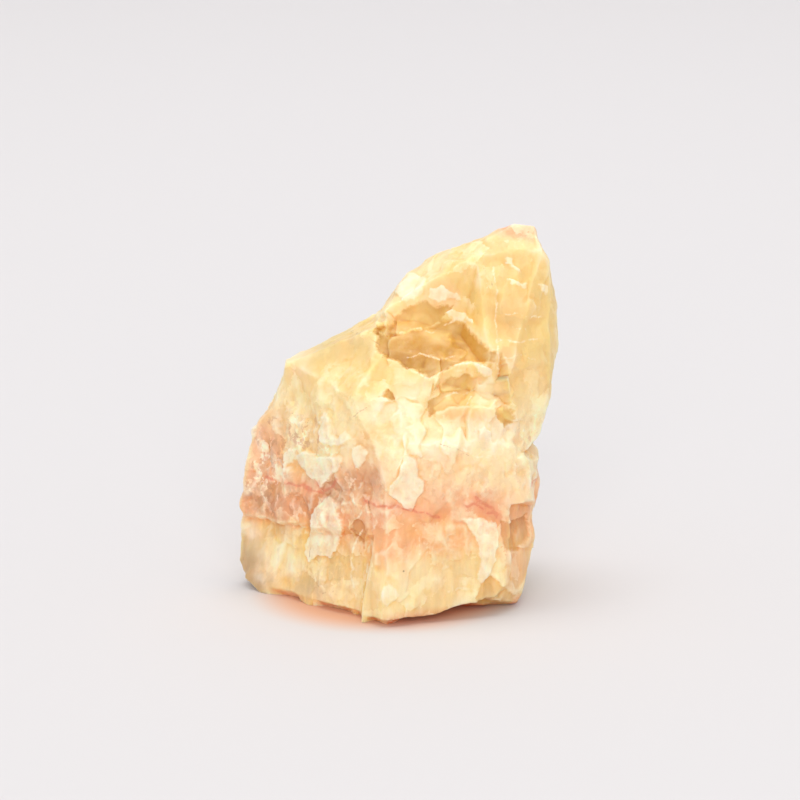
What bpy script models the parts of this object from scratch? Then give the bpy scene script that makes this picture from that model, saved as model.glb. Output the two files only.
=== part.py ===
"""Orange calcite: one rough, banded lump broken from a vein, standing on its flattest side.

The lump is one solid. Its skin starts as a ball round an axis inside the stone, and each point of the ball
runs out along its own ray until it leaves the rock. The rock is a leaning body of measured outline, cut by
broken faces, ledges and scoops, and its skin is stepped by loose plates.

The shape is worked out in millimetres: X to the right, Y away from the front, Z up.
"""

import bmesh
import bpy
import numpy as np

# Size of the finished stone, in millimetres. The skin is drawn close to it and fitted to it at the end.
WIDTH = 64.4
DEPTH = 45.6
HEIGHT = 76.0

METRES_PER_MM = 0.001
BALL_LEVEL = 7
TRIANGLES = 8600

# Banded orange calcite: a warm honey cream, in linear light, with the soft gloss of a fresh break.
HONEY_CREAM = (0.86, 0.61, 0.33, 1.0)
ROUGHNESS = 0.42
REFRACTION = 1.6

# The line inside the stone that the rays start from, and how the point where each leaves is found.
AXIS_FOOT = np.array([-2.0, 1.0, 14.0])
AXIS_TOP = np.array([12.0, 1.0, 56.0])
FARTHEST = 62.0
HALVINGS = 18

# How far the body reaches to each side, as (height, reach).
LEFT = [
    (0, -28.6), (3, -32.4), (5.5, -34.4), (9, -33.8), (14.5, -32.6), (22.3, -33.8), (30.6, -33.2),
    (34.1, -30.6), (39.5, -26.2), (46, -23.8), (49, -23.2), (50.8, -19.6), (54.8, -11.4), (58.8, -4.4),
    (65.2, 1.2), (69.8, 9.2), (72.2, 16.4), (HEIGHT, 22.5),
]
RIGHT = [
    (0, 24), (10.5, 26.2), (18.7, 27), (28, 27.6), (33.6, 28.4), (42, 30.8), (50, 31.9),
    (60, 31.4), (69.5, 29.6), (HEIGHT, 26.5),
]
FRONT = [(0, -24), (20, -24), (38, -20), (55, -14), (65, -9.5), (HEIGHT, -3)]
BACK = [(0, 18), (12, 22.5), (28, 23), (45, 20), (60, 15), (HEIGHT, 7)]
SQUARENESS = 3.2
BODY_SCALE = 20.0


def profile(heights, table):
    """The reach at each height, read in straight lines between the points of a table."""
    return np.interp(heights, *np.array(table, float).T)


def body(points):
    """How far points lie outside the uncut lump. Its level sections are squarish ovals between the profiles."""
    x, y, z = points.T
    left, right, front, back = (profile(z, table) for table in (LEFT, RIGHT, FRONT, BACK))
    across = np.abs(2 * x - left - right) / (right - left)
    deep = np.abs(2 * y - front - back) / (back - front)
    return ((across**SQUARENESS + deep**SQUARENESS) ** (1 / SQUARENESS) - 1) * BODY_SCALE


def face(x, y, z, azimuth, tilt):
    """A flat break through (x, y, z). It faces the front at azimuth 0, right at 90, and up by its tilt."""
    turn, rise = np.radians([azimuth, tilt])
    normal = np.array([np.sin(turn) * np.cos(rise), -np.cos(turn) * np.cos(rise), np.sin(rise)])
    return normal, normal @ (x, y, z)


# Broken faces that cut right across the lump.
FACES = [
    # crest
    face(24, 3, HEIGHT, 176, 62),
    face(24, 3, HEIGHT, -10, 52),
    # lower front, meeting in a blunt upright edge left of the middle
    face(-4.5, -20.6, 0, 14, 4),
    face(-4.5, -20.6, 0, -40, 4),
    # lower right, where the front turns to the end
    face(21, -12.6, 5, 52, -8),
    # upper front: the wide leaning face
    face(19.6, -12.2, 45, 1, 19),
    # left shoulder: its sunny slope and the steeper strip along the skyline
    face(-12, -13, 42, -32, 33),
    face(-18, -4, 52, -50, 55),
    # left end
    face(-33.6, -2, 14, -75, -2),
    face(-33, 6, 24, -110, 8),
    # right end
    face(33, -2, 50, 86, -3),
    face(27.5, 13, 24, 122, -5),
    # back: a broad leaning face, a lower one and two corners
    face(4, 19.5, 34, 176, 15),
    face(0, 22.5, 10, 188, -6),
    face(-20, 16, 22, 222, 8),
    face(27, 14, 58, 140, 20),
]

# Bites: what lies beyond every face of one bite is gone.
BITES = [
    # upper right: the skin right of the ridge turns away and stands back from the block below
    [face(19.8, -12, 45, 35, 6), face(24, -9, 34, 40, 58)],
    [face(29, -6.5, 50, 66, 3), face(28, -6, 36, 60, 50)],
    # amber hollow under the brow, with its floor, its left wall and its right wall
    [
        face(8, -3.9, 63, -4, 0), face(8, -12, 50.5, 8, 50),
        face(-3.8, -8, 55, 66, 12), face(19, -10.5, 55, -40, 10),
    ],
    # smaller hollow below it
    [
        face(13, -9.1, 49, 2, -2), face(13, -13, 43.5, 12, 50),
        face(6.2, -12, 46, 70, 0), face(20.5, -11, 46, -60, 0),
    ],
    # slab standing out at the lower front: the skin left of it is set back
    [face(-8.6, -13.4, 10, -38, 3), face(-8.2, -20, 10, -98, 5), face(-14, -14, 19.5, -30, -52)],
    # recess at the lower right, between the front face and the end
    [face(22, -10.6, 12, 50, 2), face(21, -12, 12, 120, 2), face(24, -8, 21, 20, -60)],
    # lifted edge under the lower front, right of the foot
    [face(2, -8.5, 0, 14, -76), face(-2.8, -20, 0, 74, -12)],
    # undercut at the left foot
    [face(-30.4, -6, 0, -62, -44)],
    # nick in the right edge
    [face(25.8, 0, 32.6, 86, -46), face(25.8, 0, 32.2, 90, 44), face(27, 7, 32, -25, 0)],
    # step along the back and a corner lost from it
    [face(0, 18.2, 30, 178, 4), face(0, 20, 27, 180, 66), face(6, 20, 30, 120, 0)],
    [face(-16, 15, 38, 214, 28), face(-16, 16, 31, 200, 70)],
    # chip at the right end
    [face(27.5, 8, 44, 104, -20), face(27, 6, 38, 100, 60), face(28, -2, 44, 160, 0)],
]

# Shell-shaped scoops: (centre, radii).
SCOOPS = [
    ((-19, -21, 47), (9, 7, 8)),
    ((-40, 9, 31), (8, 11, 7)),
    ((35, 12, 62), (7, 9, 10)),
    ((-6, 27.5, 47), (12, 8, 9)),
    ((18, 25.5, 20), (11, 6, 9)),
    ((-14, 26, 12), (9, 6, 8)),
    ((27, -15, 36), (6, 5, 5)),
]

# Uneven ground: how far faces wander, at each length of swell. Sideways the skyline keeps its drawn edge.
SWELLS = [(17.0, 1.5), (7.0, 0.75), (3.2, 0.28)]
SKYLINE_DEPTH = 9.0
SKYLINE_SHARE = 0.15

# Loose plates on the skin: their width, their height, the step between two of them, and how much they lean.
PLATES = [(11.0, 15.0, 0.9, 0.10), (5.5, 7.5, 0.45, 0.12)]
PLATE_SEEDS = 10
RAGGED_LENGTH = 2.4
RAGGED_SHARE = 0.22
# Below this height the plates thin out, so that the foot stays flat.
FOOT_HEIGHT = 2.5

# How a cell's whole numbers are mixed into one that looks random.
SCATTER_MIX = np.array([127.1, 311.7, 74.7])
SCATTER_SEED = 19.19
SCATTER_GAIN = 43758.5453


def beyond(points, one_face):
    """How far each point lies outside a face."""
    normal, offset = one_face
    return points @ normal - offset


def scoop(points, centre, radii):
    """How deep each point lies inside a scoop's ellipsoid."""
    return (1 - np.linalg.norm((points - centre) / radii, axis=-1)) * min(radii)


def rock(points):
    """How far points lie outside the cut rock: the body, every face, every bite and every scoop."""
    outside = body(points)
    for one_face in FACES:
        outside = np.maximum(outside, beyond(points, one_face))
    for bite in BITES:
        outside = np.maximum(outside, np.min([beyond(points, one_face) for one_face in bite], axis=0))
    for centre, radii in SCOOPS:
        outside = np.maximum(outside, scoop(points, centre, radii))
    return outside


def scatter(cells, salt):
    """A number from 0 to 1 for each whole-number cell, always the same for the same cell and salt."""
    spread = np.sin(cells @ SCATTER_MIX + salt * SCATTER_SEED) * SCATTER_GAIN
    return spread - np.floor(spread)


def swell(points, salt):
    """Smooth noise from -1 to 1: each lattice cell's eight corner numbers, blended by an S-curve."""
    corner = np.floor(points)
    blend = points - corner
    blend = blend * blend * (3 - 2 * blend)
    total = np.zeros(len(points))
    for step in np.ndindex(2, 2, 2):
        share = np.prod(np.where(step, blend, 1 - blend), axis=1)
        total += share * scatter(corner + step, salt)
    return 2 * total - 1


def wander(points):
    """How far the swells move the rock at each point, so that flat faces and edges come out uneven."""
    moved = np.zeros_like(points)
    for number, (length, reach) in enumerate(SWELLS):
        for axis in range(3):
            moved[:, axis] += reach * swell(points / length, 3 * number + axis)
    moved[:, 0] *= np.clip(np.abs(points[:, 1]) / SKYLINE_DEPTH, SKYLINE_SHARE, 1)
    return moved


def plates(points, width, height, step, lean, salt):
    """Depth of loose plates: each point takes the level and the lean of the nearest scattered seed."""
    scaled = points / (width, width, height) + RAGGED_SHARE * swell(points / RAGGED_LENGTH, salt)[:, None]
    home = np.floor(scaled)
    nearest = np.full(len(points), np.inf)
    depth = np.zeros(len(points))
    for shift in np.ndindex(3, 3, 3):
        cell = home + shift - 1
        draws = np.stack([scatter(cell, salt + number) for number in range(7)], axis=1)
        away = scaled - cell - draws[:, :3]
        reach = np.sum(away**2, axis=1)
        tilt = draws[:, 3:6] - 0.5
        level = step * (draws[:, 6] - 0.5) + lean * width * np.sum(away * tilt, axis=1)
        closer = reach < nearest
        depth = np.where(closer, level, depth)
        nearest = np.where(closer, reach, nearest)
    return depth


def leave(start, directions, moved):
    """How far each ray runs before it leaves the rock or meets the ground, halving the gap each time."""
    near = np.zeros(len(directions))
    far = np.full(len(directions), FARTHEST)
    for _ in range(HALVINGS):
        middle = (near + far) / 2
        points = start + directions * middle[:, None]
        outside = np.maximum(rock(points + moved), -points[:, 2]) > 0
        far = np.where(outside, middle, far)
        near = np.where(outside, near, middle)
    return near


def skin(directions):
    """The stone's skin: each ray leaves the axis, higher the more it points up, and stops at the rock's end."""
    lift = (directions[:, 2:] + 1) / 2
    start = AXIS_FOOT + (AXIS_TOP - AXIS_FOOT) * lift
    smooth = start + directions * leave(start, directions, 0)[:, None]
    points = start + directions * leave(start, directions, wander(smooth))[:, None]
    hold = np.clip(points[:, 2] / FOOT_HEIGHT, 0, 1)
    depth = sum(plates(points, *plate, PLATE_SEEDS * (1 + number)) for number, plate in enumerate(PLATES))
    return points - directions * (depth * hold)[:, None]


def calcite():
    """The stone's material."""
    material = bpy.data.materials.new("orange_calcite")
    material.use_nodes = True
    shader = material.node_tree.nodes["Principled BSDF"]
    shader.inputs["Base Color"].default_value = HONEY_CREAM
    shader.inputs["Roughness"].default_value = ROUGHNESS
    shader.inputs["IOR"].default_value = REFRACTION
    return material


def build_stone():
    """The lump as one closed mesh: a fine ball drawn onto the rock, then thinned to the triangles allowed."""
    ball = bmesh.new()
    bmesh.ops.create_icosphere(ball, subdivisions=BALL_LEVEL, radius=1)
    directions = np.array([vertex.co for vertex in ball.verts])
    points = skin(directions / np.linalg.norm(directions, axis=1)[:, None])
    low, high = points.min(axis=0), points.max(axis=0)
    foot = ((low[0] + high[0]) / 2, (low[1] + high[1]) / 2, low[2])
    points = (points - foot) / (high - low) * (WIDTH, DEPTH, HEIGHT) * METRES_PER_MM
    for vertex, point in zip(ball.verts, points):
        vertex.co = point
    mesh = bpy.data.meshes.new("orange_calcite")
    ball.to_mesh(mesh)
    ball.free()
    mesh.materials.append(calcite())
    stone = bpy.data.objects.new("orange_calcite", mesh)
    bpy.context.collection.objects.link(stone)
    thin = stone.modifiers.new("thin", "DECIMATE")
    thin.ratio = TRIANGLES / len(mesh.polygons)
    return stone


for old in list(bpy.data.objects):
    bpy.data.objects.remove(old)
build_stone()
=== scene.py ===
# %% [markdown]
# # A rough stone of orange calcite
# Calcite is soft, cloudy and brittle. This lump grew in a vein as upright columns, one coloured
# band on another: pale yellow at the foot, salmon with rusty seams, milky cream, and clear honey
# at the top. It was then broken out, so no side is smooth. Such a stone could be sculpted by hand
# or scanned. Here it is worked out by a formula, so that each ledge and flake has a size that can
# be read and changed.

import math

import bpy
import mathutils
import numpy as np
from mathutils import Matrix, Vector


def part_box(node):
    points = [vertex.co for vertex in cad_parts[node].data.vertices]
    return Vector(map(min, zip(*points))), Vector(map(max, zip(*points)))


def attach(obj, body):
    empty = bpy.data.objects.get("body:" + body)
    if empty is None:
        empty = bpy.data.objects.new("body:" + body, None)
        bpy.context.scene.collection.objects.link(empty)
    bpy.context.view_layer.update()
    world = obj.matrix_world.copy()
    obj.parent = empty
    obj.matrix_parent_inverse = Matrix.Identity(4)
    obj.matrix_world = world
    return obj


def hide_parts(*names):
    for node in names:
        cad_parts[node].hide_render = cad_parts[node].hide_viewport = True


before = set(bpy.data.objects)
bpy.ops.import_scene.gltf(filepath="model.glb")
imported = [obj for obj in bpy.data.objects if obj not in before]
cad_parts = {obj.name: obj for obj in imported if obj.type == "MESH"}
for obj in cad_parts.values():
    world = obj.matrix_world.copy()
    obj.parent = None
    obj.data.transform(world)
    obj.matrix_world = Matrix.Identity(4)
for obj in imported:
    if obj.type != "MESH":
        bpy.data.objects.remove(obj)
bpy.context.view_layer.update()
MM = 0.001
low_corner, high_corner = (np.array(corner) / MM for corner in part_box("orange_calcite"))
print("the stone's box in mm:", low_corner.round(2), high_corner.round(2))

# %% [markdown]
# ## Numbers that look random
# Stone needs irregular ground that comes out the same on every run. A cell's whole numbers are
# mixed into one number that looks random, and blending such numbers between the corners of a
# lattice gives a smooth swell. Several swells make uneven ground, and a swell cut off at 0 and 1
# makes patches.

# %% Scatter and swell
SCATTER_MIX = np.array([127.1, 311.7, 74.7])
SCATTER_SEED = 19.19
SCATTER_GAIN = 43758.5453


def scatter(cells, salt):
    """fraction of gain * sin(cell . mix + salt * seed): from 0 to 1 for each whole-number cell."""
    spread = np.sin(cells @ SCATTER_MIX + salt * SCATTER_SEED) * SCATTER_GAIN
    return spread - np.floor(spread)


def swell(points, salt):
    """Smooth noise from -1 to 1: each cell's eight corner numbers, blended by 3t^2 - 2t^3."""
    corner = np.floor(points)
    blend = points - corner
    blend = blend * blend * (3 - 2 * blend)
    total = np.zeros(len(points))
    for step in np.ndindex(2, 2, 2):
        share = np.prod(np.where(step, blend, 1 - blend), axis=1)
        total += share * scatter(corner + step, salt)
    return 2 * total - 1


def swells(points, table, salt):
    """The sum of reach * swell(p / length, salt + reach) over a table of lengths and reaches."""
    return sum(reach * swell(points / length, salt + reach) for length, reach in table)


def patches(points, length, salt, swing, mean):
    """swing * swell(p / length) + mean, held between 0 and 1: more patches as the mean grows."""
    return np.clip(swing * swell(points / length, salt) + mean, 0, 1)


print("one scattered number:", round(float(scatter(np.ones(3), 1)), 3))

# %% [markdown]
# ## The uncut lump
# The stone's outline is drawn as four profiles: how far it reaches to the left, right, front and
# back at each height. Between them every level section is a superellipse, a squarish oval. That
# is not yet stone, but it fixes the leaning outline with its shoulder and its peak.

# %% Profiles
HEIGHT = 76.0
LEFT = [
    (0, -28.6), (3, -32.4), (5.5, -34.4), (9, -33.8), (14.5, -32.6), (22.3, -33.8), (30.6, -33.2),
    (34.1, -30.6), (39.5, -26.2), (46, -23.8), (49, -23.2), (50.8, -19.6), (54.8, -11.4),
    (58.8, -4.4), (65.2, 1.2), (69.8, 9.2), (72.2, 16.4), (HEIGHT, 22.5),
]
RIGHT = [
    (0, 24), (10.5, 26.2), (18.7, 27), (28, 27.6), (33.6, 28.4), (42, 30.8), (50, 31.9),
    (60, 31.4), (69.5, 29.6), (HEIGHT, 26.5),
]
FRONT = [(0, -24), (20, -24), (38, -20), (55, -14), (65, -9.5), (HEIGHT, -3)]
BACK = [(0, 18), (12, 22.5), (28, 23), (45, 20), (60, 15), (HEIGHT, 7)]
SQUARENESS = 3.2
BODY_SCALE = 20.0


def profile(heights, table):
    """The reach at each height, read in straight lines between the points of a table."""
    return np.interp(heights, *np.array(table, float).T)


def body(points):
    """((|x| ^ n + |y| ^ n) ^ (1 / n) - 1) * scale, with x and y from mid-section in half widths."""
    x, y, z = points.T
    left, right, front, back = (profile(z, table) for table in (LEFT, RIGHT, FRONT, BACK))
    across = np.abs(2 * x - left - right) / (right - left)
    deep = np.abs(2 * y - front - back) / (back - front)
    return ((across**SQUARENESS + deep**SQUARENESS) ** (1 / SQUARENESS) - 1) * BODY_SCALE

# %% [markdown]
# ## Breaks
# Calcite parts along flat planes, so the broken stone is a set of faces. A face is one point and
# the way it looks. A bite is a group of faces that take out a hollow or a ledge together. A scoop
# is a shell-shaped hollow. The solid under this skin has the same cuts, so the two agree.

# %% Faces, bites and scoops
def face(x, y, z, azimuth, tilt):
    """A flat break through (x, y, z) that faces front at azimuth 0, right at 90, up by its tilt."""
    turn, rise = np.radians([azimuth, tilt])
    normal = np.array([np.sin(turn) * np.cos(rise), -np.cos(turn) * np.cos(rise), np.sin(rise)])
    return normal, normal @ (x, y, z)


# Broken faces that cut right across the lump: a point, an azimuth and a tilt.
FACES = [
    # crest
    (24, 3, HEIGHT, 176, 62), (24, 3, HEIGHT, -10, 52),
    # lower front, meeting in a blunt upright edge left of the middle
    (-4.5, -20.6, 0, 14, 4), (-4.5, -20.6, 0, -40, 4),
    # lower right, where the front turns to the end
    (21, -12.6, 5, 52, -8),
    # upper front: the wide leaning face
    (19.6, -12.2, 45, 1, 19),
    # left shoulder: its wide slope and the steeper strip along the skyline
    (-12, -13, 42, -32, 33), (-18, -4, 52, -50, 55),
    # left end
    (-33.6, -2, 14, -75, -2), (-33, 6, 24, -110, 8),
    # right end
    (33, -2, 50, 86, -3), (27.5, 13, 24, 122, -5),
    # back: a broad leaning face, a lower one and two corners
    (4, 19.5, 34, 176, 15), (0, 22.5, 10, 188, -6), (-20, 16, 22, 222, 8), (27, 14, 58, 140, 20),
]

# Bites: what lies beyond every face of one bite is gone.
BITES = [
    # upper right: set back from the block below
    [(19.8, -12, 45, 35, 6), (24, -9, 34, 40, 58)],
    [(29, -6.5, 50, 66, 3), (28, -6, 36, 60, 50)],
    # amber hollow under the brow: its back, floor, left wall and right wall
    [(8, -3.9, 63, -4, 0), (8, -12, 50.5, 8, 50), (-3.8, -8, 55, 66, 12), (19, -10.5, 55, -40, 10)],
    # smaller hollow below it
    [(13, -9.1, 49, 2, -2), (13, -13, 43.5, 12, 50), (6.2, -12, 46, 70, 0),
     (20.5, -11, 46, -60, 0)],
    # left of the slab that stands out at the lower front
    [(-8.6, -13.4, 10, -38, 3), (-8.2, -20, 10, -98, 5), (-14, -14, 19.5, -30, -52)],
    # recess at the lower right
    [(22, -10.6, 12, 50, 2), (21, -12, 12, 120, 2), (24, -8, 21, 20, -60)],
    # lifted edge under the lower front, right of the foot
    [(2, -8.5, 0, 14, -76), (-2.8, -20, 0, 74, -12)],
    # undercut at the left foot
    [(-30.4, -6, 0, -62, -44)],
    # nick in the right edge
    [(25.8, 0, 32.6, 86, -46), (25.8, 0, 32.2, 90, 44), (27, 7, 32, -25, 0)],
    # step along the back and a corner lost from it
    [(0, 18.2, 30, 178, 4), (0, 20, 27, 180, 66), (6, 20, 30, 120, 0)],
    [(-16, 15, 38, 214, 28), (-16, 16, 31, 200, 70)],
    # chip at the right end
    [(27.5, 8, 44, 104, -20), (27, 6, 38, 100, 60), (28, -2, 44, 160, 0)],
]

# Shell-shaped scoops: (centre, radii).
SCOOPS = [
    ((-19, -21, 47), (9, 7, 8)), ((-40, 9, 31), (8, 11, 7)), ((35, 12, 62), (7, 9, 10)),
    ((-6, 27.5, 47), (12, 8, 9)), ((18, 25.5, 20), (11, 6, 9)), ((-14, 26, 12), (9, 6, 8)),
    ((27, -15, 36), (6, 5, 5)),
]

broken = [face(*row) for row in FACES]
bitten = [[face(*row) for row in bite] for bite in BITES]
print(len(FACES), "faces,", len(BITES), "bites and", len(SCOOPS), "scoops")

# %% [markdown]
# ## The rock as one formula
# Each cut is a number: how far a point lies outside it. The largest of these says how far the
# point lies outside the rock. Meshes that are cut with one another can tear, and this can't.

# %% How far outside
def beyond(points, one_face):
    """points . normal - offset: how far each point lies outside a face."""
    normal, offset = one_face
    return points @ normal - offset


def scoop(points, centre, radii):
    """(1 - |(p - centre) / radii|) * smallest radius: how deep a point lies in the ellipsoid."""
    return (1 - np.linalg.norm((points - centre) / radii, axis=-1)) * min(radii)


def rock(points):
    """The largest of: the body, every face, the least face of every bite, and every scoop."""
    outside = body(points)
    for one_face in broken:
        outside = np.maximum(outside, beyond(points, one_face))
    for bite in bitten:
        least = np.min([beyond(points, one_face) for one_face in bite], axis=0)
        outside = np.maximum(outside, least)
    for centre, radii in SCOOPS:
        outside = np.maximum(outside, scoop(points, centre, radii))
    return outside


# %% [markdown]
# ## Uneven ground
# No broken face is truly flat. The point that is asked about is first moved by three sizes of
# swell, so every face and edge wanders. Sideways it moves less near the skyline, which keeps the
# drawn outline.

# %% Wander
SWELLS = [(17.0, 1.5), (7.0, 0.75), (3.2, 0.28)]
SKYLINE_DEPTH = 9.0
SKYLINE_SHARE = 0.15


def wander(points):
    """For each axis, the sum of reach * swell(p / length) over the lengths and reaches."""
    moved = np.zeros_like(points)
    for number, (length, reach) in enumerate(SWELLS):
        for axis in range(3):
            moved[:, axis] += reach * swell(points / length, 3 * number + axis)
    moved[:, 0] *= np.clip(np.abs(points[:, 1]) / SKYLINE_DEPTH, SKYLINE_SHARE, 1)
    return moved


# %% [markdown]
# ## Loose plates
# A fresh break is stepped, because plates of stone came away at different levels. Seeds are
# scattered in a lattice, each with a level and a lean. A point takes them from the seeds round
# it, and the nearest counts most. Where it counts for much more, the step is crisp, and elsewhere
# it is worn soft. Each plate also has a milkiness, which the finish uses.

# %% Plates
# width, height, step between plates, lean, and length of the tears along the edges
PLATES = [(11.0, 15.0, 0.9, 0.10, 2.4), (5.5, 7.5, 0.45, 0.12, 2.4)]
PLATE_SEEDS = 10
RAGGED_SHARE = 0.22
SOFT_STEP, CRISP_STEP = 9.0, 60.0
STEP_PATCH, STEP_SWING, STEP_MEAN = 7.0, 1.2, 0.35


def plates(points, width, height, step, lean, tears, salt):
    """Depth and milkiness of the plates: means in which a seed counts exp(-crispness * distance^2).

    A seed's depth is step * (draw - 1/2) + lean * width * (p - seed) . tilt. Milkiness is a draw.
    """
    scaled = points / (width, width, height) + RAGGED_SHARE * swell(points / tears, salt)[:, None]
    worn = patches(points, STEP_PATCH, salt + 8, STEP_SWING, STEP_MEAN)
    crispness = SOFT_STEP + (CRISP_STEP - SOFT_STEP) * worn**2
    home = np.floor(scaled)
    depth = np.zeros(len(points))
    milk = np.zeros(len(points))
    total = np.zeros(len(points))
    for shift in np.ndindex(3, 3, 3):
        cell = home + shift - 1
        draws = np.stack([scatter(cell, salt + number) for number in range(7)], axis=1)
        away = scaled - cell - draws[:, :3]
        weight = np.exp(-crispness * np.sum(away**2, axis=1))
        tilt = draws[:, 3:6] - 0.5
        depth += weight * (step * (draws[:, 6] - 0.5) + lean * width * np.sum(away * tilt, axis=1))
        milk += weight * draws[:, 3]
        total += weight
    return depth / total, milk / total


# %% [markdown]
# ## The skin
# The skin is a function of two parameters, like a globe: turn goes round the stone, and rise goes
# from its foot to its crest. Each pair gives a ray from an axis inside the stone, and the skin is
# where that ray leaves the rock. Halving the gap again and again finds that place for all rays at
# once.

# %% Rays
AXIS_FOOT = np.array([-2.0, 1.0, 14.0])
AXIS_TOP = np.array([12.0, 1.0, 56.0])
FARTHEST = 62.0
HALVINGS = 15


def ray(turn, rise):
    """Start: foot + (top - foot) (sin rise + 1) / 2 on the axis.

    Direction: (cos rise cos turn, cos rise sin turn, sin rise).
    """
    turn, rise = np.radians([turn, rise])
    way = np.stack([np.cos(rise) * np.cos(turn), np.cos(rise) * np.sin(turn), np.sin(rise)], axis=1)
    return AXIS_FOOT + (AXIS_TOP - AXIS_FOOT) * (way[:, 2:] + 1) / 2, way


def leave(start, way, moved):
    """How far each ray runs before it leaves the rock or meets the ground."""
    near = np.zeros(len(way))
    far = np.full(len(way), FARTHEST)
    for _ in range(HALVINGS):
        middle = (near + far) / 2
        points = start + way * middle[:, None]
        outside = np.maximum(rock(points + moved), -points[:, 2]) > 0
        far = np.where(outside, middle, far)
        near = np.where(outside, near, middle)
    return near


AROUND = 640
FOOT_RISES = np.linspace(-88, -50, 26)
SIDE_RISES = np.linspace(-49.6, 88.5, 414)
rises = np.concatenate([FOOT_RISES, SIDE_RISES])
rise_grid, turn_grid = np.meshgrid(rises, np.arange(AROUND) * 360 / AROUND, indexing="ij")
turns = np.append(turn_grid.ravel(), [0, 0])
rises_all = np.append(rise_grid.ravel(), [-90, 90])
start, way = ray(turns, rises_all)
smooth = start + way * leave(start, way, 0)[:, None]
points = start + way * leave(start, way, wander(smooth))[:, None]
reached = [points.min(axis=0).round(1), points.max(axis=0).round(1)]
print("rays:", len(points), "reach in mm:", *reached)

# %% [markdown]
# ## Stepping the skin
# The plates are taken off along each ray, and fade out at the foot so that the stone still stands
# flat. The skin is then fitted to the box of the solid, which puts it in the stone's own frame.

# %% Stepped skin
FOOT_HEIGHT = 2.5


def layered(table, first):
    """The depth and milkiness of each layer of plates in a table."""
    return [plates(points, *row, PLATE_SEEDS * number) for number, row in enumerate(table, first)]


def fit(loose):
    """Stretch and move the points so that their box is the solid's box."""
    low, high = loose.min(axis=0), loose.max(axis=0)
    return low_corner + (loose - low) / (high - low) * (high_corner - low_corner)


layers = layered(PLATES, 1)
hold = np.clip(points[:, 2] / FOOT_HEIGHT, 0, 1)
coarse_depth = sum(depth for depth, _ in layers)
points = fit(points - way * (coarse_depth * hold)[:, None])
print("plates step the skin over", round(float(np.ptp(coarse_depth)), 2), "mm")

# %% [markdown]
# ## Where the markings lie
# Flakes, windows and seams are drawn as outlines on an upright sheet through the stone's middle,
# as a person draws them from one side. Each point of the skin knows where it falls on such a
# sheet, and takes a marking only if it looks towards that side.

# %% The drawing sheet
MIDDLE = np.array([0.6, 0.0, 40.4])
DISTANCE = 600.0
ELEVATION = 15.0
# A marking of the front ends where the skin turns away by this cosine.
FACING = 0.05
# Colours of the front fade round the sides instead, and last longer round the left end.
LEFT_END, FADE, FADE_START = -30, 4, 0.9


def axes(azimuth):
    """Right, up and back unit vectors of a sheet at the azimuth, leaning by the elevation."""
    turn, lean = np.radians([azimuth, ELEVATION])
    right = np.array([np.cos(turn), np.sin(turn), 0])
    back = np.array([np.sin(turn) * np.cos(lean), -np.cos(turn) * np.cos(lean), np.sin(lean)])
    return right, np.cross(back, right), back


def on_sheet(places, azimuth):
    """(q . right, q . up) * distance / (distance - q . back), with q counted from the middle."""
    right, up, back = axes(azimuth)
    away = places - MIDDLE
    shrink = DISTANCE / (DISTANCE - away @ back)
    return np.stack([away @ right, away @ up], axis=1) * shrink[:, None]


def towards(azimuth):
    """way . back: 1 where a skin's ray points straight at the sheet's viewer, negative behind."""
    return way @ axes(azimuth)[2]


front = on_sheet(points, 0)
on_front = towards(0) > FACING
facing_front = np.clip(np.maximum(towards(0), towards(LEFT_END)) * FADE + FADE_START, 0, 1)
spans = [front.min(axis=0).round(1), front.max(axis=0).round(1)]
print("from the front the stone spans", *spans, "mm")

# %% [markdown]
# ## Distance to an outline
# A marking's edge has to stay crisp at any zoom. So the skin doesn't store "inside" or "outside",
# but how many millimetres inside the outline a point is. The finish draws the edge where that is
# zero.

# %% Inset and gap
REACH = 4.0
TORN = [(1.5, 0.4, 90), (0.7, 0.2, 91)]
NOT_ZERO = 1e-9


def segments(places, starts, ends):
    """The least distance from each place to any of the straight runs from starts to ends."""
    runs = ends - starts
    away = places[:, None] - starts
    share = np.clip(np.sum(away * runs, axis=-1) / np.sum(runs**2, axis=-1), 0, 1)
    return np.linalg.norm(away - share[..., None] * runs, axis=-1).min(axis=1)


def inset(places, outline):
    """How far inside a closed outline each place lies: negative outside, -REACH far away."""
    corners = np.array(outline, float)
    following = np.roll(corners, -1, axis=0)
    low, high = corners.min(axis=0) - REACH, corners.max(axis=0) + REACH
    close = np.all((places > low) & (places < high), axis=1)
    x, y = places[close][:, 0, None], places[close][:, 1, None]
    rising = (corners[:, 1] > y) != (following[:, 1] > y)
    run = following - corners
    crossing = corners[:, 0] + (y - corners[:, 1]) * run[:, 0] / (run[:, 1] + NOT_ZERO)
    inside = np.sum(rising & (x < crossing), axis=1) % 2 == 1
    depth = np.full(len(places), -REACH)
    depth[close] = np.where(inside, 1, -1) * segments(places[close], corners, following)
    return depth


tear = sum(reach * swell(points / length, salt) for length, reach, salt in TORN)
print("outlines are torn by up to", round(float(np.abs(tear).max()), 2), "mm")

# %% [markdown]
# ## Milky flakes
# Where a thin skin of stone stayed on, it has turned milky and stands proud of the break. These
# are the flakes of the front, each with the height it stands up.

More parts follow.
